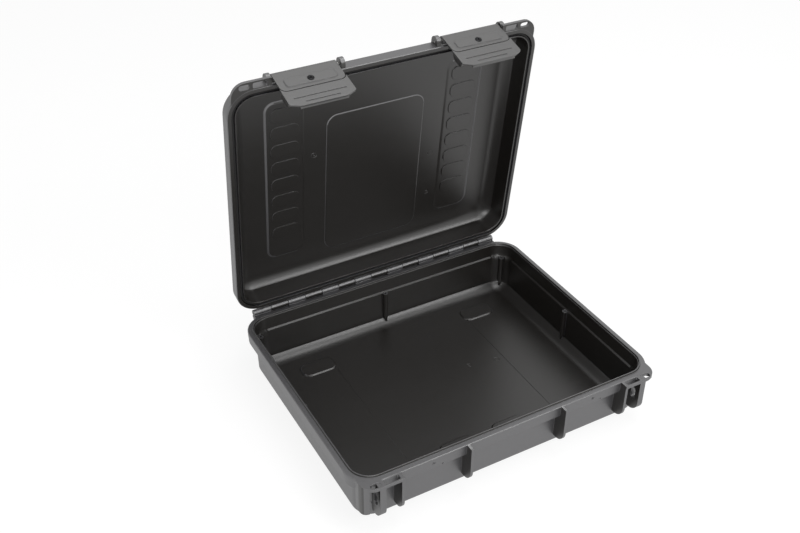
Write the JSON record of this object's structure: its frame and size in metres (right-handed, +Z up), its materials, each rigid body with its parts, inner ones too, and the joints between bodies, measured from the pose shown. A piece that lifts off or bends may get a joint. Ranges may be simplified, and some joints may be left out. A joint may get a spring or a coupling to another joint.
{
  "type": "laptop hard case",
  "caption": "Black moulded hard case for a laptop, lid open on a long piano-type knuckle hinge, with wide trigger latches, seal groove, front ribs and padlock flanges.",
  "frame": {"origin": "centre of the base's flat underside, on the surface it stands on", "axes": "+X to the case's right as seen from the front, +Y to the back (hinge side), +Z up; the lid stands open as pictured"},
  "size_m": [0.5, 0.4562, 0.5102],
  "materials": {
    "shell": "black moulded polypropylene, fine satin grain",
    "latch": "black glass-filled nylon, satin",
    "gasket": "black sealing cord",
    "steel": "drawn stainless steel",
    "spring": "rolled spring steel",
    "rivet": "black coated steel"
  },
  "bodies": {
    "base": {"base_shell": "shell", "hinge_pin": "steel"},
    "lid": {"lid_shell": "shell", "lid_gasket": "gasket", "latch_pivot_pin_left": "steel", "latch_pivot_pin_right": "steel"},
    "latch_left": {"latch_body_left": "latch", "trigger_pin_left": "steel", "trigger_spring_left": "spring", "latch_rivet_left": "rivet"},
    "latch_right": {"latch_body_right": "latch", "trigger_pin_right": "steel", "trigger_spring_right": "spring", "latch_rivet_right": "rivet"},
    "trigger_left": {"latch_trigger_left": "latch"},
    "trigger_right": {"latch_trigger_right": "latch"}
  },
  "joints": [
    {"name": "lid_hinge", "type": "hinge", "parent": "base", "child": "lid", "pos_m": [0, 0.2086, 0.0903], "axis": [-1, 0, 0], "range_deg": [-82.8, 22.2]},
    {"name": "latch_left_pivot", "type": "hinge", "parent": "lid", "child": "latch_left", "pos_m": [-0.1332, 0.16508, 0.50179], "axis": [-1, 0, 0], "range_deg": [0, 115]},
    {"name": "latch_right_pivot", "type": "hinge", "parent": "lid", "child": "latch_right", "pos_m": [0.1332, 0.16508, 0.50179], "axis": [-1, 0, 0], "range_deg": [0, 115]},
    {"name": "trigger_left_pivot", "type": "hinge", "parent": "latch_left", "child": "trigger_left", "pos_m": [-0.1332, 0.14537, 0.4979], "axis": [-1, 0, 0], "range_deg": [0, 12], "stiffness_Nm_per_rad": 0.4, "springref_deg": -8.59},
    {"name": "trigger_right_pivot", "type": "hinge", "parent": "latch_right", "child": "trigger_right", "pos_m": [0.1332, 0.14537, 0.4979], "axis": [-1, 0, 0], "range_deg": [0, 12], "stiffness_Nm_per_rad": 0.4, "springref_deg": -8.59}
  ]
}
